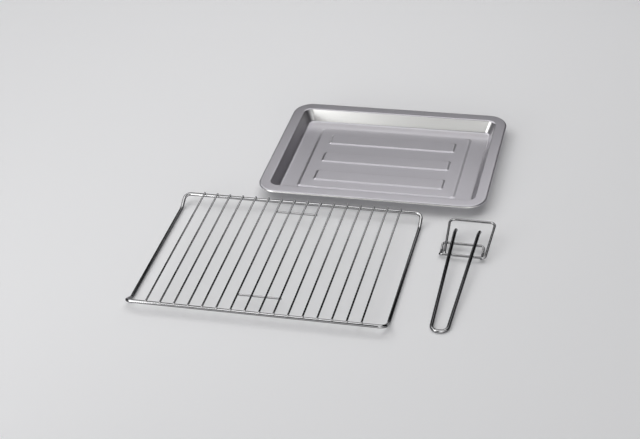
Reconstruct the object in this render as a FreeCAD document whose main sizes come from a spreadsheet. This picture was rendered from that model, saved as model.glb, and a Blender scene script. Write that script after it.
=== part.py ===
import FreeCAD, Part
import math
import os

# Loose furniture of a countertop oven, laid out side by side on one flat surface:
# a welded wire rack, a pressed baking tray and a bent-wire tray gripper.
# Millimetres, +Z up. The origin is the centre of the set's footprint, on the surface.

doc = FreeCAD.newDocument("oven_furniture")
sheet = doc.addObject("Spreadsheet::Sheet", "Sizes")

# Driving dimensions, each written once
DRIVING = {
    # wire rack
    "rack_wire_count": 16,
    "rack_wire_pitch": 20.0,
    "rack_wire_diameter": 2.7,
    "rack_side_space": 31.0,        # rail centre to the first cross wire
    "rack_depth": 266.0,            # front wire centre to back wire centre
    "rack_frame_diameter": 5.0,
    "rack_rise": 11.4,              # front and back wires above the side rails
    "rack_riser_run": 22.0,         # length of the sloping ends of a side rail
    "rack_corner_radius": 9.0,
    "rack_riser_radius": 16.0,
    "rack_wire_short": 1.2,         # cut end short of the outside of the frame wire
    "rack_tie_inset": 35.5,         # front wire centre to the front tie wire
    "rack_tie_rear_inset": 29.0,    # back wire centre to the rear tie wire
    "rack_tie_first": 7,            # the tie wires run from this cross wire
    "rack_tie_last": 10,            # to this one
    "rack_tie_overhang": 1.2,
    "weld_set": 0.25,               # how far crossing wires sink into each other
    # baking tray
    "tray_width": 346.5,
    "tray_depth": 262.5,
    "tray_height": 20.0,
    "tray_sheet": 0.8,
    "tray_flange": 17.6,            # rim's outside to the top of the wall
    "tray_draft": 8.0,              # how far the wall leans in on its way down
    "tray_corner_radius": 30.0,
    "tray_base_bend": 3.6,
    "tray_top_bend": 2.4,
    "tray_curl_radius": 2.0,
    "tray_floor_lap": 3.0,
    "panel_side_margin": 25.0,      # wall foot to the raised panel
    "panel_end_margin": 20.0,
    "panel_rise": 1.4,
    "strip_count": 3,
    "strip_length": 202.0,
    "strip_depth": 28.0,
    "strip_pitch": 52.3,
    "strip_rise": 1.4,
    "step_side_run": 3.2,           # plan width of a pressed step, at its left and right
    "step_end_run": 2.2,            # at its front and back
    # tray gripper
    "grip_wire_diameter": 5.0,
    "grip_length": 212.0,           # outside of the bend to where the tips turn down
    "grip_bend_width": 22.7,        # between the two rods at the bend
    "grip_tip_width": 33.6,         # between the two rods at the tips
    "grip_slope": 3.0,              # degrees that the rods climb towards the head
    "tip_length": 10.5,
    "tip_drop": 18.0,               # degrees that the tips turn down
    "tip_bend_radius": 12.0,
    "tip_cone_length": 3.0,
    "tip_cone_radius": 1.5,
    "head_wire_diameter": 3.5,
    "head_bar_y": 166.5,            # outside of the bend to the lower cross bar
    "head_bar_space": 26.0,         # lower bar to upper bar
    "head_reach": 42.5,             # upper bar to the loop's far bar
    "head_far_height": 20.0,
    "head_far_width": 65.4,
    "head_near_width": 57.2,
    "head_shift": 5.2,              # grip's centre line to the loop's, towards the right
    "jaw_width": 58.6,
    "jaw_shift": -1.2,              # grip's centre line to the jaw's
    "head_corner_radius": 6.5,
    "jaw_corner_radius": 4.2,
    "jaw_floor_length": 10.0,
    "leg_clearance": 0.4,           # left leg over the upper bar, not welded
    # the layout on the surface
    "tray_gap": 17.5,               # rack's back wire centre to the tray's rim
    "tray_shift": 104.0,            # rack's left rail centre to the tray's left rim
    "gripper_gap": 68.0,            # rack's right rail centre to the gripper's centre line
    "gripper_shift": 14.0,          # rack's front wire centre to the gripper's bend
    "gripper_turn": -1.0,           # degrees about the vertical
}
for row, (alias, value) in enumerate(DRIVING.items(), start=1):
    sheet.set("A%d" % row, alias.replace("_", " "))
    sheet.set("B%d" % row, repr(value))
    sheet.setAlias("B%d" % row, alias)
doc.recompute()


def size(alias):
    return float(sheet.get(alias))


def vec(x, y, z):
    return FreeCAD.Vector(x, y, z)


# Sizes and places that follow from the driving ones
rack_frame_r = size("rack_frame_diameter") / 2
rack_wire_r = size("rack_wire_diameter") / 2
rack_wire_count = int(size("rack_wire_count"))
rack_width = 2 * size("rack_side_space") + (rack_wire_count - 1) * size("rack_wire_pitch")
rack_depth = size("rack_depth")
rack_front_z = rack_frame_r + size("rack_rise")
rack_wire_z = rack_front_z + rack_frame_r + rack_wire_r - size("weld_set")
rack_wire_past = rack_frame_r - size("rack_wire_short")
tie_z = rack_wire_z - 2 * rack_wire_r + size("weld_set")

grip_r = size("grip_wire_diameter") / 2
head_r = size("head_wire_diameter") / 2


def bent_path(points, radii, closed=False):
    """Straight runs through the points, joined by tangent arcs of the given radii."""
    count = len(points)
    trims = []
    for i, corner in enumerate(points):
        if not closed and i in (0, count - 1):
            trims.append((corner, corner, corner))
            continue
        before = (points[i - 1] - corner).normalize()
        after = (points[(i + 1) % count] - corner).normalize()
        half_turn = (math.pi - before.getAngle(after)) / 2
        cut = radii[i] * math.tan(half_turn)
        sagitta = radii[i] / math.cos(half_turn) - radii[i]
        middle = corner + (before + after).normalize() * sagitta
        trims.append((corner + before * cut, middle, corner + after * cut))
    edges = []
    for i in range(count):
        start, middle, end = trims[i]
        if (end - start).Length > 1e-6:
            edges.append(Part.Arc(start, middle, end).toShape())
        if i == count - 1 and not closed:
            break
        run_end = trims[(i + 1) % count][0]
        if (run_end - end).Length > 1e-6:
            edges.append(Part.LineSegment(end, run_end).toShape())
    return Part.Wire(edges)


def round_wire(path, radius):
    """A round rod of the given radius that follows the path."""
    first = path.Edges[0]
    tangent = first.tangentAt(first.FirstParameter)
    section = Part.Wire([Part.makeCircle(radius, first.valueAt(first.FirstParameter), tangent)])
    rod = path.makePipeShell([section], True, False)
    expected = math.pi * radius ** 2 * path.Length
    if abs(rod.Volume - expected) > 0.01 * expected:
        raise RuntimeError("a bent wire has the wrong volume")
    return rod


def add_feature(label, shape, placement):
    feature = doc.addObject("Part::Feature", label)
    feature.Label = label
    feature.Shape = shape
    feature.Placement = placement
    return feature


def add_rod(label, diameter_alias, length_expression, placement):
    """A straight cut wire, its diameter and length bound to the sheet."""
    rod = doc.addObject("Part::Cylinder", label)
    rod.Label = label
    rod.setExpression("Radius", "Sizes.%s / 2" % diameter_alias)
    rod.setExpression("Height", length_expression)
    rod.Placement = placement
    return rod


# Wire rack: one closed wire whose side rails lie low, bent up at both ends
rise_run = size("rack_riser_run")
rail_r = size("rack_riser_radius")
corner_r = size("rack_corner_radius")
right = rack_width
frame_points = [
    vec(right / 2, 0, rack_front_z),
    vec(right, 0, rack_front_z),
    vec(right, rise_run, rack_frame_r),
    vec(right, rack_depth - rise_run, rack_frame_r),
    vec(right, rack_depth, rack_front_z),
    vec(0, rack_depth, rack_front_z),
    vec(0, rack_depth - rise_run, rack_frame_r),
    vec(0, rise_run, rack_frame_r),
    vec(0, 0, rack_front_z),
    vec(right / 2, 0, rack_front_z),
]
frame_radii = [0, corner_r, rail_r, rail_r, corner_r, corner_r, rail_r, rail_r, corner_r, 0]
rack_frame = round_wire(bent_path(frame_points, frame_radii), rack_frame_r)

# Baking tray: one pressed sheet with leaning walls, a flat flange and a curled rim
def offset_corners(points, distance):
    """The corners of a flat path moved sideways, in the plane of X and Z."""
    moved = []
    for i, corner in enumerate(points):
        normals = []
        for a, b in ((i - 1, i), (i, i + 1)):
            if a >= 0 and b < len(points):
                run = (points[b] - points[a]).normalize()
                normals.append(vec(-run.z, 0, run.x))
        middle = sum(normals[1:], normals[0]).normalize()
        moved.append(corner + middle * (distance / middle.dot(normals[0])))
    return moved


def turn_sign(points, i):
    before = points[i] - points[i - 1]
    after = points[i + 1] - points[i]
    return 1 if before.z * after.x - before.x * after.z > 0 else -1


def sheet_section(points, radii, thickness):
    """The cut face of a bent sheet whose middle follows the points."""
    sides = []
    for side in (-1, 1):
        corners = offset_corners(points, side * thickness / 2)
        bends = list(radii)
        for i in range(1, len(points) - 1):
            bends[i] = radii[i] + side * turn_sign(points, i) * thickness / 2
        sides.append(bent_path(corners, bends))
    ends = [
        Part.LineSegment(a, b).toShape()
        for a, b in zip(
            (sides[0].OrderedVertexes[0].Point, sides[0].OrderedVertexes[-1].Point),
            (sides[1].OrderedVertexes[0].Point, sides[1].OrderedVertexes[-1].Point),
        )
    ]
    outline = Part.Wire(Part.__sortEdges__(sides[0].Edges + sides[1].Edges + ends))
    return Part.Face(outline)


def sloped_block(low_x, high_x, low_y, high_y, low_z, rise):
    """A low block whose four sides lean in as they climb."""
    outlines = []
    for lean, z in ((0, low_z), (1, low_z + rise)):
        x_in = lean * size("step_side_run")
        y_in = lean * size("step_end_run")
        corners = [
            vec(low_x + x_in, low_y + y_in, z),
            vec(high_x - x_in, low_y + y_in, z),
            vec(high_x - x_in, high_y - y_in, z),
            vec(low_x + x_in, high_y - y_in, z),
        ]
        outlines.append(Part.makePolygon(corners + corners[:1]))
    return Part.makeLoft(outlines, True, True)


tray_w = size("tray_width")
tray_d = size("tray_depth")
tray_top = size("tray_height")
sheet_t = size("tray_sheet")
tray_r = size("tray_corner_radius")
curl_r = size("tray_curl_radius")
wall_top = size("tray_flange")
wall_foot = wall_top + size("tray_draft")
floor_edge = wall_foot + size("tray_floor_lap")
curl_mid = curl_r - sheet_t / 2
section_points = [
    vec(floor_edge, 0, sheet_t / 2),
    vec(wall_foot, 0, sheet_t / 2),
    vec(wall_top, 0, tray_top - sheet_t / 2),
    vec(sheet_t / 2, 0, tray_top - sheet_t / 2),
    vec(sheet_t / 2, 0, tray_top - 2 * curl_r + sheet_t / 2),
    vec(2 * curl_r - sheet_t / 2, 0, tray_top - 2 * curl_r + sheet_t / 2),
    vec(2 * curl_r - sheet_t / 2, 0, tray_top - curl_r),
]
base_bend = size("tray_base_bend") + sheet_t / 2
top_bend = size("tray_top_bend") - sheet_t / 2
section = sheet_section(
    section_points, [0, base_bend, top_bend, curl_mid, curl_mid, curl_mid, 0], sheet_t
)

# The section runs straight along each side and turns round each corner
rim_pieces = []
for quarter, (corner_x, corner_y, run_length) in enumerate((
    (tray_r, tray_r, tray_d - 2 * tray_r),
    (tray_r, tray_d - tray_r, tray_w - 2 * tray_r),
    (tray_w - tray_r, tray_d - tray_r, tray_d - 2 * tray_r),
    (tray_w - tray_r, tray_r, tray_w - 2 * tray_r),
)):
    face = section.copy()
    face.translate(vec(corner_x - tray_r, corner_y, 0))
    face.rotate(vec(corner_x, corner_y, 0), vec(0, 0, 1), -90 * quarter)
    heading = FreeCAD.Rotation(vec(0, 0, 1), -90 * quarter).multVec(vec(0, 1, 0))
    rim_pieces.append(face.extrude(heading * run_length))
    rim_pieces.append(face.revolve(vec(corner_x, corner_y, 0), vec(0, 0, 1), 90))
floor_plate = Part.makeBox(
    tray_w - 2 * floor_edge, tray_d - 2 * floor_edge, sheet_t, vec(floor_edge, floor_edge, 0)
)
corner_fill = tray_r - floor_edge
if corner_fill > 0:
    # Square floor corners meet the rim's inner corners, so they take the same radius
    upright = [e for e in floor_plate.Edges if abs(e.tangentAt(e.FirstParameter).z) > 0.9]
    floor_plate = floor_plate.makeFillet(corner_fill, upright)
tray = rim_pieces[0].multiFuse(rim_pieces[1:] + [floor_plate])

# The floor's raised panel and its strips are pressed up, so the underside follows them
panel_x = wall_foot + size("panel_side_margin")
panel_y = wall_foot + size("panel_end_margin")
panel_rise = size("panel_rise")
strip_rise = size("strip_rise")
strip_x = (tray_w - size("strip_length")) / 2
pressings = [(panel_x, tray_w - panel_x, panel_y, tray_d - panel_y, 0, panel_rise)]
for i in range(int(size("strip_count"))):
    strip_mid = tray_d / 2 + (i - (size("strip_count") - 1) / 2) * size("strip_pitch")
    strip_low = strip_mid - size("strip_depth") / 2
    strip_high = strip_mid + size("strip_depth") / 2
    pressings.append((strip_x, tray_w - strip_x, strip_low, strip_high, panel_rise, strip_rise))
for low_x, high_x, low_y, high_y, low_z, rise in pressings:
    tray = tray.fuse(sloped_block(low_x, high_x, low_y, high_y, low_z + sheet_t, rise))
for low_x, high_x, low_y, high_y, low_z, rise in pressings:
    tray = tray.cut(sloped_block(low_x, high_x, low_y, high_y, low_z, rise))
tray = tray.removeSplitter()

# Tray gripper, drawn from the outside of its bend, which lies on the surface
slope = math.tan(math.radians(size("grip_slope")))
bend_y = grip_r


def rod_height(y):
    """Height of the grip rods' centre line at a distance from the bend."""
    return grip_r + slope * (y - bend_y)


# Grip: a hairpin whose rods spread towards the tips and turn down at the ends
bend_half = size("grip_bend_width") / 2
tip_half = size("grip_tip_width") / 2
tip_y = size("grip_length")
spread = (tip_half - bend_half) / (tip_y - bend_y - bend_half)
drop = math.radians(size("tip_drop") - size("grip_slope"))
tip_reach = size("tip_length")
end_y = tip_y + tip_reach * math.cos(drop)
end_z = rod_height(tip_y) - tip_reach * math.sin(drop)
end_half = tip_half + spread * tip_reach
square_half = bend_half - spread * bend_half
grip_points = [
    vec(-end_half, end_y, end_z),
    vec(-tip_half, tip_y, rod_height(tip_y)),
    vec(-square_half, bend_y, rod_height(bend_y)),
    vec(square_half, bend_y, rod_height(bend_y)),
    vec(tip_half, tip_y, rod_height(tip_y)),
    vec(end_half, end_y, end_z),
]
bend_radius = 0.97 * square_half
tip_r = size("tip_bend_radius")
grip_path = bent_path(grip_points, [0, tip_r, bend_radius, bend_radius, tip_r, 0])
grip = round_wire(grip_path, grip_r)
for tip, inner in ((grip_points[0], grip_points[1]), (grip_points[-1], grip_points[-2])):
    outward = (tip - inner).normalize()
    cone = Part.makeCone(
        grip_r, size("tip_cone_radius"), size("tip_cone_length"), tip, outward
    )
    grip = grip.fuse(cone)
grip = grip.removeSplitter()

# Head: one thin wire, bent into a wide loop and then into the jaw that holds the rim
lower_y = size("head_bar_y")
upper_y = lower_y + size("head_bar_space")
far_y = upper_y + size("head_reach")
seat = grip_r + head_r - size("weld_set")
lower_z = rod_height(lower_y) - seat
upper_z = rod_height(upper_y) - seat
far_z = size("head_far_height")
head_mid = size("head_shift")
near_half = size("head_near_width") / 2
far_half = size("head_far_width") / 2
jaw_left = size("jaw_shift") - size("jaw_width") / 2
jaw_right = size("jaw_shift") + size("jaw_width") / 2
jaw_floor = head_r
jaw_mid = (lower_y + upper_y) / 2
jaw_near = jaw_mid - size("jaw_floor_length") / 2
jaw_far = jaw_mid + size("jaw_floor_length") / 2
weld_reach = 2 * head_r
leg_pass_z = upper_z + 2 * head_r + size("leg_clearance")
leg_slope = (far_z - leg_pass_z) / (far_y - upper_y)
leg_weld = vec(head_mid - near_half, lower_y, leg_pass_z - leg_slope * (upper_y - lower_y))
far_left = vec(head_mid - far_half, far_y, far_z)
leg_run = (far_left - leg_weld).normalize()
jaw_weld = vec(jaw_right, lower_y, lower_z)
jaw_run = vec(0, math.cos(math.radians(45)), -math.sin(math.radians(45)))
head_points = [
    leg_weld + leg_run * weld_reach,
    far_left,
    vec(head_mid + far_half, far_y, far_z),
    vec(head_mid + near_half, lower_y, lower_z),
    vec(jaw_left, lower_y, lower_z),
    vec(jaw_left, jaw_near, jaw_floor),
    vec(jaw_left, jaw_far, jaw_floor),
    vec(jaw_left, upper_y, upper_z),
    vec(jaw_right, upper_y, upper_z),
    vec(jaw_right, jaw_far, jaw_floor),
    vec(jaw_right, jaw_near, jaw_floor),
    jaw_weld + jaw_run * weld_reach,
]
head_r_corner = size("head_corner_radius")
jaw_r = size("jaw_corner_radius")
head_radii = [0, head_r_corner, head_r_corner] + [jaw_r] * 8 + [0]
head = round_wire(bent_path(head_points, head_radii), head_r)

# Both ends of the head wire are closed to its lower bar by a weld bead, its poles sideways
for weld, run in ((leg_weld, leg_run), (jaw_weld, jaw_run)):
    sideways = vec(1, 0, 0)
    facing = FreeCAD.Rotation(sideways.cross(run), run, sideways, "ZXY")
    bead = Part.makeSphere(1.3 * head_r)
    bead.Placement = FreeCAD.Placement(weld + run * 0.75 * weld_reach, facing)
    head = head.fuse(bead)
head = head.removeSplitter()

# The layout, measured from the rack's left rail and front wire
tray_x = size("tray_shift")
tray_y = rack_depth + size("tray_gap")
gripper_x = rack_width + size("gripper_gap")
gripper_y = size("gripper_shift")
gripper_turn = FreeCAD.Rotation(vec(0, 0, 1), size("gripper_turn"))
gripper_place = FreeCAD.Placement(vec(gripper_x, gripper_y, 0), gripper_turn)
head_box = head.transformed(gripper_place.toMatrix()).optimalBoundingBox(False, False)
set_low_x = -rack_frame_r
set_high_x = max(tray_x + tray_w, head_box.XMax)
set_low_y = -max(rack_frame_r, rack_wire_past)
set_high_y = tray_y + tray_d
set_centre = vec((set_low_x + set_high_x) / 2, (set_low_y + set_high_y) / 2, 0)


def placed(x, y, z, rotation=None):
    """Where a point of the layout comes, once the origin is under the set's centre."""
    return FreeCAD.Placement(vec(x, y, z) - set_centre, rotation or FreeCAD.Rotation())


add_feature("rack_frame", rack_frame, placed(0, 0, 0))
add_feature("baking_tray", tray, placed(tray_x, tray_y, 0))
add_feature("gripper_handle_wire", grip, placed(gripper_x, gripper_y, 0, gripper_turn))
add_feature("gripper_head_wire", head, placed(gripper_x, gripper_y, 0, gripper_turn))

# Cross wires, laid over the frame's front and back wires and welded there
along_depth = FreeCAD.Rotation(vec(1, 0, 0), -90)
for i in range(rack_wire_count):
    wire_x = size("rack_side_space") + i * size("rack_wire_pitch")
    add_rod(
        "rack_cross_wire_%02d" % (i + 1),
        "rack_wire_diameter",
        "Sizes.rack_depth + Sizes.rack_frame_diameter - 2 * Sizes.rack_wire_short",
        placed(wire_x, -rack_wire_past, rack_wire_z, along_depth),
    )

# Short tie wires, welded under the middle cross wires
along_width = FreeCAD.Rotation(vec(0, 1, 0), 90)
tie_start = size("rack_side_space") + (size("rack_tie_first") - 1) * size("rack_wire_pitch")
tie_places = {
    "rack_front_tie_wire": size("rack_tie_inset"),
    "rack_rear_tie_wire": rack_depth - size("rack_tie_rear_inset"),
}
for label, tie_y in tie_places.items():
    add_rod(
        label,
        "rack_wire_diameter",
        "(Sizes.rack_tie_last - Sizes.rack_tie_first) * Sizes.rack_wire_pitch"
        " + 2 * Sizes.rack_tie_overhang",
        placed(tie_start - size("rack_tie_overhang"), tie_y, tie_z, along_width),
    )

doc.recompute()

# Nothing is written unless every piece is sound
sub_parts = [o for o in doc.Objects if o.isDerivedFrom("Part::Feature")]
for obj in doc.Objects:
    if "Invalid" in obj.State or "Error" in obj.State:
        raise RuntimeError("%s failed to compute" % obj.Label)
for part in sub_parts:
    if part.Shape.isNull() or not part.Shape.isValid():
        raise RuntimeError("%s has no sound shape" % part.Label)

os.makedirs("parts", exist_ok=True)
for part in sub_parts:
    part.Shape.exportStep("parts/%s.step" % part.Label)
    print("%-22s %9.1f mm3, %d solid" % (part.Label, part.Shape.Volume, len(part.Shape.Solids)))
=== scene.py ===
import math

import bmesh
import bpy
from mathutils import Matrix, Vector


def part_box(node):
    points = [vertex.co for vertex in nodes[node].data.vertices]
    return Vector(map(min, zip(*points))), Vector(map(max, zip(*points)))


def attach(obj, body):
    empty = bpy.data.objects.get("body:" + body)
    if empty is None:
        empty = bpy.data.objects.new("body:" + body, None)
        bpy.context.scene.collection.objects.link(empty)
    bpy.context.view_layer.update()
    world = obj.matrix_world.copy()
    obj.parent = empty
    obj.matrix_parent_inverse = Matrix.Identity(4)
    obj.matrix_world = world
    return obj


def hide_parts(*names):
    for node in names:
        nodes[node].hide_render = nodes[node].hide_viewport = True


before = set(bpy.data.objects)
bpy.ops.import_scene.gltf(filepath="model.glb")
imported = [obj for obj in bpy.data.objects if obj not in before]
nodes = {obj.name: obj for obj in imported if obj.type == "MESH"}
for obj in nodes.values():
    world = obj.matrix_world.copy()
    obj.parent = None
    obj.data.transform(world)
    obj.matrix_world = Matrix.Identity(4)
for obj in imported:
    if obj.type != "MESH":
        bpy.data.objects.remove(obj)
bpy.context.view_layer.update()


# Baking tray
# A shallow tray pressed from one grey aluminised sheet, with leaning walls and a wide flat rim.
# The rim's edge is curled under into a bead. The floor has a raised panel with three raised
# strips across it, which keep the thin sheet from warping in the heat.
SHEET = 0.0008
RIM_WIDTH = 0.0176
WALL_LEAN = 0.0080
TRAY_CORNER = 0.030
FLOOR_CORNER_GAIN = 0.006
FLOOR_LIP = 0.003
BEAD_RADIUS = 0.0020
BEAD_TOP_BEND = 0.0024
BEAD_LOW_BEND = 0.0008
TOP_BEND = 0.0024
BASE_BEND = 0.0036
PANEL_SIDE = 0.025
PANEL_END = 0.020
PANEL_CORNER = 0.006
STEP_RISE = 0.0014
PANEL_SIDE_RUN = 0.0056
STRIP_SIDE_RUN = 0.0044
STEP_END_RUN = 0.0026
STEP_CORNER_LOSS = 0.6
STRIP_LENGTH = 0.202
STRIP_DEPTH = 0.028
STRIP_PITCH = 0.0523
STRIP_CORNER = 0.004
BEND_FACES = 7
CORNER_FACES = 14
STEP_FACES = 6
SAME_PLACE = 0.000001


def bent_line(corners, radii):
    """Points of a flat line that bends round its corners; bends that meet share a point."""
    points = [Vector(corners[0])]
    for before, corner, after, radius in zip(corners, corners[1:], corners[2:], radii):
        corner = Vector(corner)
        back = (Vector(before) - corner).normalized()
        on = (Vector(after) - corner).normalized()
        half = back.angle(on) / 2
        centre = corner + (back + on).normalized() * (radius / math.sin(half))
        start = corner + back * (radius / math.tan(half)) - centre
        turn = math.pi - 2 * half
        if back.x * on.y - back.y * on.x > 0:
            turn = -turn
        for k in range(BEND_FACES + 1):
            point = centre + Matrix.Rotation(turn * k / BEND_FACES, 2) @ start
            if (point - points[-1]).length > SAME_PLACE:
                points.append(point)
    points.append(Vector(corners[-1]))
    return points


def round_ring(shape, low, high, radius, height):
    """A level ring of points round a rectangle with round corners."""
    ring = []
    centres = (
        (high[0] - radius, high[1] - radius),
        (low[0] + radius, high[1] - radius),
        (low[0] + radius, low[1] + radius),
        (high[0] - radius, low[1] + radius),
    )
    for quarter, (x, y) in enumerate(centres):
        for k in range(CORNER_FACES + 1):
            angle = math.pi / 2 * (quarter + k / CORNER_FACES)
            place = (x + radius * math.cos(angle), y + radius * math.sin(angle), height)
            ring.append(shape.verts.new(place))
    return ring


def join_rings(shape, outer, inner):
    """A band of faces between two rings with as many points."""
    for k in range(len(outer)):
        after = (k + 1) % len(outer)
        shape.faces.new((outer[k], outer[after], inner[after], inner[k]))


def pressed_step(shape, low, high, corner, height, side_run):
    """Rings up a soft pressed step that runs round a rectangle; gives the first and the last."""
    first = last = None
    for k in range(STEP_FACES + 1):
        share = k / STEP_FACES
        x_in = side_run * share
        y_in = STEP_END_RUN * share
        climb = STEP_RISE * (0.5 - 0.5 * math.cos(math.pi * share))
        ring = round_ring(
            shape,
            (low[0] + x_in, low[1] + y_in),
            (high[0] - x_in, high[1] - y_in),
            corner - STEP_CORNER_LOSS * y_in,
            height + climb,
        )
        if last:
            join_rings(shape, last, ring)
        first = first or ring
        last = ring
    return first, last


half_sheet = SHEET / 2
foot = RIM_WIDTH + WALL_LEAN
tray_low, tray_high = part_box("baking_tray")
top = tray_high.z - half_sheet
bead_inside = 2 * BEAD_RADIUS - half_sheet
bead_bottom = tray_high.z - 2 * BEAD_RADIUS + half_sheet
rim_line = bent_line(
    [
        (bead_inside, tray_high.z - BEAD_RADIUS),
        (bead_inside, bead_bottom),
        (half_sheet, bead_bottom),
        (half_sheet, top),
        (RIM_WIDTH, top),
        (foot, half_sheet),
        (foot + FLOOR_LIP, half_sheet),
    ],
    [
        BEAD_RADIUS - half_sheet,
        BEAD_LOW_BEND,
        BEAD_TOP_BEND,
        TOP_BEND - half_sheet,
        BASE_BEND + half_sheet,
    ],
)

sheet_shape = bmesh.new()
previous = None
for inset, height in rim_line:
    down_the_wall = max(0.0, inset - RIM_WIDTH) / WALL_LEAN
    ring = round_ring(
        sheet_shape,
        (tray_low.x + inset, tray_low.y + inset),
        (tray_high.x - inset, tray_high.y - inset),
        TRAY_CORNER - inset + FLOOR_CORNER_GAIN * down_the_wall,
        height,
    )
    if previous:
        join_rings(sheet_shape, previous, ring)
    previous = ring

panel_low = (tray_low.x + foot + PANEL_SIDE, tray_low.y + foot + PANEL_END)
panel_high = (tray_high.x - foot - PANEL_SIDE, tray_high.y - foot - PANEL_END)
base, panel = pressed_step(
    sheet_shape, panel_low, panel_high, PANEL_CORNER, half_sheet, PANEL_SIDE_RUN
)
join_rings(sheet_shape, previous, base)
outlines = [panel]
tray_middle = (tray_low + tray_high) / 2
panel_height = half_sheet + STEP_RISE
for k in (-1, 0, 1):
    strip_y = tray_middle.y + k * STRIP_PITCH
    strip_low = (tray_middle.x - STRIP_LENGTH / 2, strip_y - STRIP_DEPTH / 2)
    strip_high = (tray_middle.x + STRIP_LENGTH / 2, strip_y + STRIP_DEPTH / 2)
    base, crown = pressed_step(
        sheet_shape, strip_low, strip_high, STRIP_CORNER, panel_height, STRIP_SIDE_RUN
    )
    outlines.append(base)
    sheet_shape.faces.new(crown)
edges = []
for ring in outlines:
    for pair in zip(ring, ring[1:] + ring[:1]):
        edges.append(sheet_shape.edges.get(pair) or sheet_shape.edges.new(pair))
bmesh.ops.triangle_fill(sheet_shape, use_beauty=True, use_dissolve=False, edges=edges)
bmesh.ops.recalc_face_normals(sheet_shape, faces=sheet_shape.faces)
for face in sheet_shape.faces:
    face.smooth = True


def new_group(name, inputs, outputs):
    """A shader node group with its number sockets, and its two end nodes."""
    group = bpy.data.node_groups.new(name, "ShaderNodeTree")
    for label, value in inputs:
        socket = group.interface.new_socket(label, in_out="INPUT", socket_type="NodeSocketFloat")
        socket.default_value = value
    for label in outputs:
        group.interface.new_socket(label, in_out="OUTPUT", socket_type="NodeSocketFloat")
    return group, group.nodes.new("NodeGroupInput"), group.nodes.new("NodeGroupOutput")


def add_node(tree, kind, **settings):
    """A node with its settings, and socket values given by socket name."""
    node = tree.nodes.new(kind)
    for key, value in settings.items():
        if hasattr(node, key):
            setattr(node, key, value)
        else:
            node.inputs[key.replace("_", " ")].default_value = value
    return node


def noise_mask(group, place, size, mask, detail, roughness):
    """Noise over the surface, its size taken from one socket and its mask given to another."""
    noise = add_node(group, "ShaderNodeTexNoise", Detail=detail, Roughness=roughness)
    group.links.new(place, noise.inputs["Vector"])
    group.links.new(size, noise.inputs["Scale"])
    group.links.new(noise.outputs["Fac"], mask)


# Faint clouding of a rolled sheet: a slow drift of tone and a fine grain along X
GRAIN_STRETCH = (0.06, 1.0, 1.0)
clouding, taken, given = new_group(
    "sheet clouding", [("Cloud Size", 14.0), ("Grain Size", 900.0)], ["Cloud", "Grain"]
)
where = add_node(clouding, "ShaderNodeTexCoord")
stretch = add_node(clouding, "ShaderNodeMapping", Scale=GRAIN_STRETCH)
clouding.links.new(where.outputs["Object"], stretch.inputs["Vector"])
noise_mask(clouding, where.outputs["Object"], taken.outputs["Cloud Size"], given.inputs["Cloud"], 3.0, 0.55)
noise_mask(clouding, stretch.outputs["Vector"], taken.outputs["Grain Size"], given.inputs["Grain"], 4.0, 0.7)

# Painted sheen and painted shade: faces turned to the front or back are painted brighter than the flats, a
# painted reflection of the lit floor and panels in front, and faces turned downward are painted dark, a
# painted shade under the rim
PAINTED_SHADE_START, PAINTED_SHADE_END = 0.10, -0.15
sheen_and_shade_nodes, taken, given = new_group(
    "painted sheen and shade", [("Least Lean", 0.60), ("Most Lean", 0.90)], ["Stretched", "Painted Shade"]
)
where = add_node(sheen_and_shade_nodes, "ShaderNodeTexCoord")
facing = add_node(sheen_and_shade_nodes, "ShaderNodeSeparateXYZ")
lean = add_node(sheen_and_shade_nodes, "ShaderNodeMath", operation="ABSOLUTE")
leaning = add_node(sheen_and_shade_nodes, "ShaderNodeMapRange", interpolation_type="SMOOTHSTEP")
upward = add_node(sheen_and_shade_nodes, "ShaderNodeMapRange", interpolation_type="SMOOTHSTEP")
upward.inputs["From Min"].default_value = PAINTED_SHADE_END
upward.inputs["From Max"].default_value = PAINTED_SHADE_START
painted_sheen = add_node(sheen_and_shade_nodes, "ShaderNodeMath", operation="MULTIPLY")
painted_shade = add_node(sheen_and_shade_nodes, "ShaderNodeMath", operation="SUBTRACT")
painted_shade.inputs[0].default_value = 1.0
sheen_and_shade_nodes.links.new(where.outputs["Normal"], facing.inputs["Vector"])
sheen_and_shade_nodes.links.new(facing.outputs["Y"], lean.inputs[0])
sheen_and_shade_nodes.links.new(lean.outputs[0], leaning.inputs["Value"])
sheen_and_shade_nodes.links.new(taken.outputs["Least Lean"], leaning.inputs["From Min"])
sheen_and_shade_nodes.links.new(taken.outputs["Most Lean"], leaning.inputs["From Max"])
sheen_and_shade_nodes.links.new(facing.outputs["Z"], upward.inputs["Value"])
sheen_and_shade_nodes.links.new(leaning.outputs["Result"], painted_sheen.inputs[0])
sheen_and_shade_nodes.links.new(upward.outputs["Result"], painted_sheen.inputs[1])
sheen_and_shade_nodes.links.new(upward.outputs["Result"], painted_shade.inputs[1])
sheen_and_shade_nodes.links.new(painted_sheen.outputs[0], given.inputs["Stretched"])
sheen_and_shade_nodes.links.new(painted_shade.outputs[0], given.inputs["Painted Shade"])


def new_metal(name, colour, roughness):
    """A bare metal material; gives its node tree and its surface shader."""
    material = bpy.data.materials.new(name)
    material.use_nodes = True
    surface = material.node_tree.nodes["Principled BSDF"]
    surface.inputs["Base Color"].default_value = colour
    surface.inputs["Metallic"].default_value = 1.0
    surface.inputs["Roughness"].default_value = roughness
    return material, material.node_tree, surface


def mix_colours(tree, mask, under, over):
    """A colour laid over another by a mask; the one under may come from a node."""
    # The node's colour sockets go by place, because their names stand for numbers too
    under_socket, over_socket, result = 6, 7, 2
    mix = add_node(tree, "ShaderNodeMix", data_type="RGBA")
    tree.links.new(mask, mix.inputs["Factor"])
    mix.inputs[over_socket].default_value = over
    if isinstance(under, tuple):
        mix.inputs[under_socket].default_value = under
    else:
        tree.links.new(under, mix.inputs[under_socket])
    return mix.outputs[result]


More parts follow.
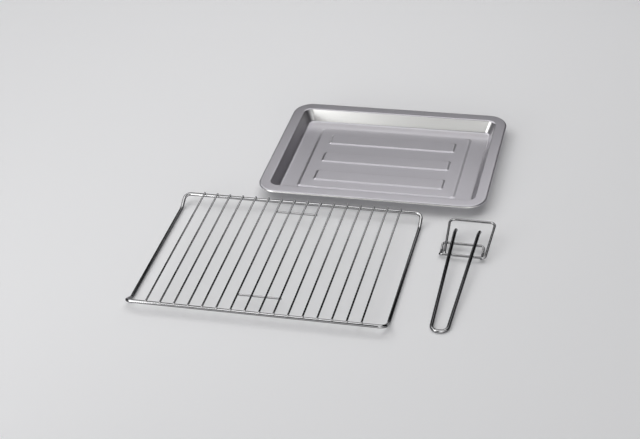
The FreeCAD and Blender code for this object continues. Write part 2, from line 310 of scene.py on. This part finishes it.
def vary_polish(tree, surface, mask, smooth, rough):
    """Roughness that wanders between two values by a mask."""
    polish = add_node(tree, "ShaderNodeMapRange", To_Min=smooth, To_Max=rough)
    tree.links.new(mask, polish.inputs["Value"])
    tree.links.new(polish.outputs["Result"], surface.inputs["Roughness"])


def add_relief(tree, surface, mask, strength, depth):
    """A fine relief in the surface by a mask."""
    relief = add_node(tree, "ShaderNodeBump", Strength=strength, Distance=depth)
    tree.links.new(mask, relief.inputs["Height"])
    tree.links.new(relief.outputs["Normal"], surface.inputs["Normal"])


SATIN_LIGHT = (0.589, 0.574, 0.612, 1)
SATIN_DARK = (0.557, 0.542, 0.579, 1)
SATIN_PAINTED_SHEEN = (0.88, 0.88, 0.86, 1)
SATIN_PAINTED_SHADE = (0.34, 0.33, 0.36, 1)
satin, tree, surface = new_metal("satin_tray_sheet", SATIN_LIGHT, 0.3)
rolled = add_node(tree, "ShaderNodeGroup", node_tree=clouding)
sheen_and_shade = add_node(tree, "ShaderNodeGroup", node_tree=sheen_and_shade_nodes)
flats = mix_colours(tree, rolled.outputs["Cloud"], SATIN_DARK, SATIN_LIGHT)
# Painted reflection: the front and back walls are painted a lighter colour than the flats
walls_with_painted_sheen = mix_colours(tree, sheen_and_shade.outputs["Stretched"], flats, SATIN_PAINTED_SHEEN)
# Painted shade: faces turned downward, under the rim and on the outer wall, are painted dark
whole = mix_colours(tree, sheen_and_shade.outputs["Painted Shade"], walls_with_painted_sheen, SATIN_PAINTED_SHADE)
tree.links.new(whole, surface.inputs["Base Color"])
vary_polish(tree, surface, rolled.outputs["Grain"], smooth=0.31, rough=0.37)
add_relief(tree, surface, rolled.outputs["Grain"], strength=0.008, depth=0.0004)


def new_object(name, data):
    """An object in the scene that shows the given data."""
    made = bpy.data.objects.new(name, data)
    bpy.context.scene.collection.objects.link(made)
    return made


def new_piece(name, shape, material):
    """A piece in one material from a drawn shape, which is used up."""
    data = bpy.data.meshes.new(name)
    shape.to_mesh(data)
    shape.free()
    data.materials.append(material)
    return new_object(name, data)


tray = new_piece("pressed_tray", sheet_shape, satin)
thickness = tray.modifiers.new("sheet thickness", "SOLIDIFY")
thickness.thickness = SHEET
thickness.offset = 0
thickness.use_even_offset = True
flat_light = tray.modifiers.new("flat faces stay flat", "WEIGHTED_NORMAL")
flat_light.keep_sharp = True
flat_light.weight = 100
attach(tray, "tray")
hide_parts("baking_tray")


# Wire rack
# One thick wire bent into a closed frame: its side rails lie low and climb at both ends.
# Sixteen thin straight wires cross it, spot welded on top of the frame's front and back,
# with two short tie wires under the middle ones. Everything is bright chrome plated.
CHROME_LIGHT = (0.78, 0.78, 0.79, 1)
CHROME_DARK = (0.58, 0.58, 0.585, 1)
PAINTED_FLANK_SHADE = (0.10, 0.10, 0.105, 1)
CROSS_LIGHT = (0.93, 0.93, 0.94, 1)
CROSS_DARK = (0.80, 0.80, 0.805, 1)

plating, taken, given = new_group(
    "plated wire", [("Streak Size", 600.0), ("Pit Size", 2400.0)], ["Streak", "Pit"]
)
where = add_node(plating, "ShaderNodeTexCoord")
noise_mask(plating, where.outputs["Object"], taken.outputs["Streak Size"], given.inputs["Streak"], 2.0, 0.5)
noise_mask(plating, where.outputs["Object"], taken.outputs["Pit Size"], given.inputs["Pit"], 3.0, 0.6)


def chrome_wire(name, light, dark, smooth, rough, streak_size=600.0, flank_shade_span=(0.10, 0.50)):
    """Chrome plating over drawn wire, with faint streaks and pits, and painted shade on its sides where they
    are seen edge on.
    """
    material, tree, surface = new_metal(name, light, smooth)
    plated = add_node(tree, "ShaderNodeGroup", node_tree=plating)
    plated.inputs["Streak Size"].default_value = streak_size
    front = mix_colours(tree, plated.outputs["Streak"], dark, light)
    # Painted shade: the colour darkens where the wire is seen edge on, in place of dark reflections
    facing = add_node(tree, "ShaderNodeLayerWeight", Blend=0.5)
    flank_shade = add_node(
        tree, "ShaderNodeMapRange", interpolation_type="SMOOTHSTEP", From_Min=flank_shade_span[0], From_Max=flank_shade_span[1]
    )
    tree.links.new(facing.outputs["Facing"], flank_shade.inputs["Value"])
    whole = mix_colours(tree, flank_shade.outputs["Result"], front, PAINTED_FLANK_SHADE)
    tree.links.new(whole, surface.inputs["Base Color"])
    vary_polish(tree, surface, plated.outputs["Streak"], smooth, rough)
    add_relief(tree, surface, plated.outputs["Pit"], strength=0.05, depth=0.0001)
    return material


frame_chrome = chrome_wire(
    "rack_frame_chrome",
    CHROME_LIGHT,
    CHROME_DARK,
    smooth=0.05,
    rough=0.11,
    flank_shade_span=(0.07, 0.42),
)
cross_chrome = chrome_wire(
    "rack_cross_chrome",
    CROSS_LIGHT,
    CROSS_DARK,
    smooth=0.06,
    rough=0.12,
    streak_size=420.0,
    flank_shade_span=(0.16, 0.58),
)
for name, node in nodes.items():
    if name.startswith("rack_"):
        node.data.materials.clear()
        node.data.materials.append(cross_chrome if "cross" in name else frame_chrome)

# Where two wires touch, the weld is a small waisted collar of melted metal
FRAME_WIRE = 0.005
WELD_ACROSS = 0.0011
WELD_SINK = 0.0001
FRAME_WELD_ALONG = 0.0015
FRAME_WELD_HEIGHT = 0.0010
TIE_WELD_ALONG = 0.0011
TIE_WELD_HEIGHT = 0.0007
TIED_WIRES = (7, 8, 9, 10)
WELD_LIGHT = (0.66, 0.65, 0.64, 1)
WELD_DARK = (0.46, 0.45, 0.44, 1)
MELTED_STREAKS = 1500.0
COLLAR_SIDES = 16
COLLAR_OUTLINE = ((-0.5, 1.16), (-0.22, 0.97), (0.0, 0.90), (0.22, 0.97), (0.5, 1.12))


def draw_collar(shape, number, place, along, height):
    """One weld collar, its outline turned round and a little uneven."""
    rings = []
    for level, width in COLLAR_OUTLINE:
        ring = []
        for k in range(COLLAR_SIDES):
            angle = 2 * math.pi * k / COLLAR_SIDES
            uneven = 1 + 0.05 * math.sin(3 * angle + number) + 0.03 * math.cos(5 * angle + 2 * number)
            x = WELD_ACROSS * width * uneven * math.cos(angle)
            y = along * width * uneven * math.sin(angle)
            ring.append(shape.verts.new(Vector(place) + Vector((x, y, height * level))))
        rings.append(ring)
    for lower, upper in zip(rings, rings[1:]):
        join_rings(shape, lower, upper)
    shape.faces.new(rings[0][::-1])
    shape.faces.new(rings[-1])


frame_low, frame_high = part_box("rack_frame")
cross_wires = [name for name in sorted(nodes) if name.startswith("rack_cross_wire")]
welds = []
for name in cross_wires:
    low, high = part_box(name)
    x = (low.x + high.x) / 2
    for y in (frame_low.y + FRAME_WIRE / 2, frame_high.y - FRAME_WIRE / 2):
        welds.append(((x, y, frame_high.z - WELD_SINK), FRAME_WELD_ALONG, FRAME_WELD_HEIGHT))
for tie in ("rack_front_tie_wire", "rack_rear_tie_wire"):
    tie_low, tie_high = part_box(tie)
    y = (tie_low.y + tie_high.y) / 2
    for number in TIED_WIRES:
        low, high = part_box(f"rack_cross_wire_{number:02d}")
        x = (low.x + high.x) / 2
        welds.append(((x, y, low.z + WELD_SINK), TIE_WELD_ALONG, TIE_WELD_HEIGHT))
weld_shape = bmesh.new()
for number, (place, along, height) in enumerate(welds):
    draw_collar(weld_shape, number, place, along, height)
for face in weld_shape.faces:
    face.smooth = len(face.verts) == 4
weld_chrome = chrome_wire(
    "weld_chrome", WELD_LIGHT, WELD_DARK, smooth=0.22, rough=0.42, streak_size=MELTED_STREAKS
)
rack_welds = new_piece("rack_welds", weld_shape, weld_chrome)
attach(rack_welds, "rack")

# The front ends of the cross wires are melted round where they are welded down
TIP_INSET = 0.0014
TIP_RADII = (0.00148, 0.0023, 0.00138)
TIP_LIGHT = (0.90, 0.90, 0.90, 1)
TIP_DARK = (0.80, 0.80, 0.80, 1)
TIP_SIDES = 20
TIP_LEVELS = 12


def draw_tip(shape, middle):
    """One melted wire end, a small ball drawn out along the wire."""
    radii = Vector(TIP_RADII)
    rings = []
    for level in range(1, TIP_LEVELS):
        tilt = math.pi * level / TIP_LEVELS
        ring = []
        for k in range(TIP_SIDES):
            angle = 2 * math.pi * k / TIP_SIDES
            across = math.sin(tilt) * math.cos(angle)
            along = math.sin(tilt) * math.sin(angle)
            ring.append(shape.verts.new(middle + radii * Vector((across, along, math.cos(tilt)))))
        rings.append(ring)
    for upper, lower in zip(rings, rings[1:]):
        join_rings(shape, lower, upper)
    crown = shape.verts.new(middle + Vector((0, 0, radii.z)))
    base = shape.verts.new(middle - Vector((0, 0, radii.z)))
    for k in range(TIP_SIDES):
        after = (k + 1) % TIP_SIDES
        shape.faces.new((crown, rings[0][k], rings[0][after]))
        shape.faces.new((base, rings[-1][after], rings[-1][k]))


tip_shape = bmesh.new()
for name in cross_wires:
    low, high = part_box(name)
    draw_tip(tip_shape, Vector(((low.x + high.x) / 2, low.y + TIP_INSET, (low.z + high.z) / 2)))
for face in tip_shape.faces:
    face.smooth = True
tip_chrome = chrome_wire(
    "melted_tip_chrome", TIP_LIGHT, TIP_DARK, smooth=0.12, rough=0.24, streak_size=MELTED_STREAKS
)
wire_ends = new_piece("rack_wire_ends", tip_shape, tip_chrome)
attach(wire_ends, "rack")


# Tray gripper
# A hairpin of thick wire is the handle. A thinner wire, bent into a wide loop and a jaw,
# is welded under its rods, and takes hold of the rim of a hot tray.
for name, finish, smooth, rough, streak_size in (
    ("gripper_handle_wire", "gripper_chrome", 0.04, 0.09, 380.0),
    ("gripper_head_wire", "gripper_head_chrome", 0.05, 0.10, 500.0),
):
    chrome = chrome_wire(finish, CHROME_LIGHT, CHROME_DARK, smooth, rough, streak_size, flank_shade_span=(0.05, 0.35))
    nodes[name].data.materials.clear()
    nodes[name].data.materials.append(chrome)


# Studio
# A pale seamless floor under a wide cloth of light, with a soft box to the left and a low card
# behind. Four panels in front, brighter on the left than on the right, are what the wires and
# the tray mirror. The camera stands at the photograph's viewing angle.
PAPER = (0.84, 0.84, 0.85, 1)
PAPER_GLOW = (0.98, 0.98, 1.0, 1)
GLOW_STRENGTH = 0.085
FLOOR_REACH = 30.0

floor_mesh = bpy.data.meshes.new("floor")
floor_corners = [(x * FLOOR_REACH, y * FLOOR_REACH, 0) for x, y in ((-1, -1), (1, -1), (1, 1), (-1, 1))]
floor_mesh.from_pydata(floor_corners, [], [(0, 1, 2, 3)])
floor = new_object("floor", floor_mesh)
paper = bpy.data.materials.new("pale_paper")
paper.use_nodes = True
paper_tree = paper.node_tree
paper_surface = paper_tree.nodes["Principled BSDF"]
paper_surface.inputs["Base Color"].default_value = PAPER
paper_surface.inputs["Roughness"].default_value = 0.85
paper_surface.inputs["Specular IOR Level"].default_value = 0.2
paper_surface.inputs["Emission Color"].default_value = PAPER_GLOW

# The paper glows faintly for the camera, for mirrors and for glass, and lights nothing
ray = add_node(paper_tree, "ShaderNodeLightPath")
seen = add_node(paper_tree, "ShaderNodeMath", operation="MAXIMUM")
seen_through = add_node(paper_tree, "ShaderNodeMath", operation="MAXIMUM")
glow = add_node(paper_tree, "ShaderNodeMath", operation="MULTIPLY")
glow.inputs[1].default_value = GLOW_STRENGTH
paper_tree.links.new(ray.outputs["Is Camera Ray"], seen.inputs[0])
paper_tree.links.new(ray.outputs["Is Glossy Ray"], seen.inputs[1])
paper_tree.links.new(seen.outputs[0], seen_through.inputs[0])
paper_tree.links.new(ray.outputs["Is Transmission Ray"], seen_through.inputs[1])
paper_tree.links.new(seen_through.outputs[0], glow.inputs[0])
paper_tree.links.new(glow.outputs[0], paper_surface.inputs["Emission Strength"])
floor_mesh.materials.append(paper)


def soft_lamp(name, place, aim, size, power, spread=180):
    """A flat lamp of a width and a height, turned to the point that it is aimed at."""
    data = bpy.data.lights.new(name, "AREA")
    data.spread = math.radians(spread)
    data.shape = "RECTANGLE"
    data.size, data.size_y = size
    data.energy = power
    lamp = new_object(name, data)
    lamp.location = place
    lamp.rotation_euler = (Vector(aim) - Vector(place)).to_track_quat("-Z", "Y").to_euler()


SET_MIDDLE = (0.0, 0.0, 0.0)
LOW_SPREAD = 60
soft_lamp("ceiling_cloth", (0.425, 1.42, 4.0), aim=(0.425, 1.42, 0.0), size=(3.55, 5.25), power=73.0)
soft_lamp("left_softbox", (-2.2, 1.0, 2.5), aim=SET_MIDDLE, size=(2.4, 2.2), power=28.5)
soft_lamp("back_card", (-0.03, 1.0, 0.735), aim=(-0.03, 0.0, 0.735), size=(1.05, 0.23), power=1.18)
soft_lamp(
    "front_left_panel",
    (-0.98, -1.2, 0.30),
    aim=(-0.05, 0.5, 0.08),
    size=(0.80, 0.56),
    power=1.02,
    spread=LOW_SPREAD,
)
soft_lamp("tall_left_panel", (-1.2, -1.1, 1.5), aim=SET_MIDDLE, size=(1.4, 1.9), power=11.5)
soft_lamp(
    "front_right_panel",
    (0.55, -1.2, 0.28),
    aim=(0.12, 0.5, 0.08),
    size=(0.96, 0.5),
    power=0.52,
    spread=LOW_SPREAD,
)
soft_lamp("front_right_card", (2.0, -1.5, 0.8), aim=SET_MIDDLE, size=(1.8, 1.2), power=3.2)

DARK_ROOM = (0.02, 0.02, 0.021, 1)
world = bpy.data.worlds.new("studio")
world.use_nodes = True
world.node_tree.nodes["Background"].inputs["Color"].default_value = DARK_ROOM
bpy.context.scene.world = world
bpy.context.scene.view_settings.view_transform = "Standard"

# The camera's place is measured from the floor below the front weld of the first cross wire
CAMERA_FROM_WIRE = Vector((0.67886, -1.45381, 1.21279))
YAW, PITCH, ROLL = (math.radians(angle) for angle in (16.28, 34.37, -4.41))
SENSOR_WIDTH = 36
LENS_PIXELS = 1460
PICTURE_WIDTH = 640
VIEW_REACH = 100
first_low, first_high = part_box("rack_cross_wire_01")
first_wire = Vector(((first_low.x + first_high.x) / 2, frame_low.y + FRAME_WIRE / 2, 0))
ahead = Vector((-math.sin(YAW) * math.cos(PITCH), math.cos(YAW) * math.cos(PITCH), -math.sin(PITCH)))
level = Vector((math.cos(YAW), math.sin(YAW), 0))
above = level.cross(ahead)
right = math.cos(ROLL) * level + math.sin(ROLL) * above
up = -math.sin(ROLL) * level + math.cos(ROLL) * above
camera_data = bpy.data.cameras.new("camera")
camera_data.sensor_width = SENSOR_WIDTH
camera_data.lens = SENSOR_WIDTH * LENS_PIXELS / PICTURE_WIDTH
camera_data.clip_end = VIEW_REACH
camera = new_object("camera", camera_data)
turn = Matrix((right, up, -ahead)).transposed().to_4x4()
camera.matrix_world = Matrix.Translation(first_wire + CAMERA_FROM_WIRE) @ turn
bpy.context.scene.camera = camera
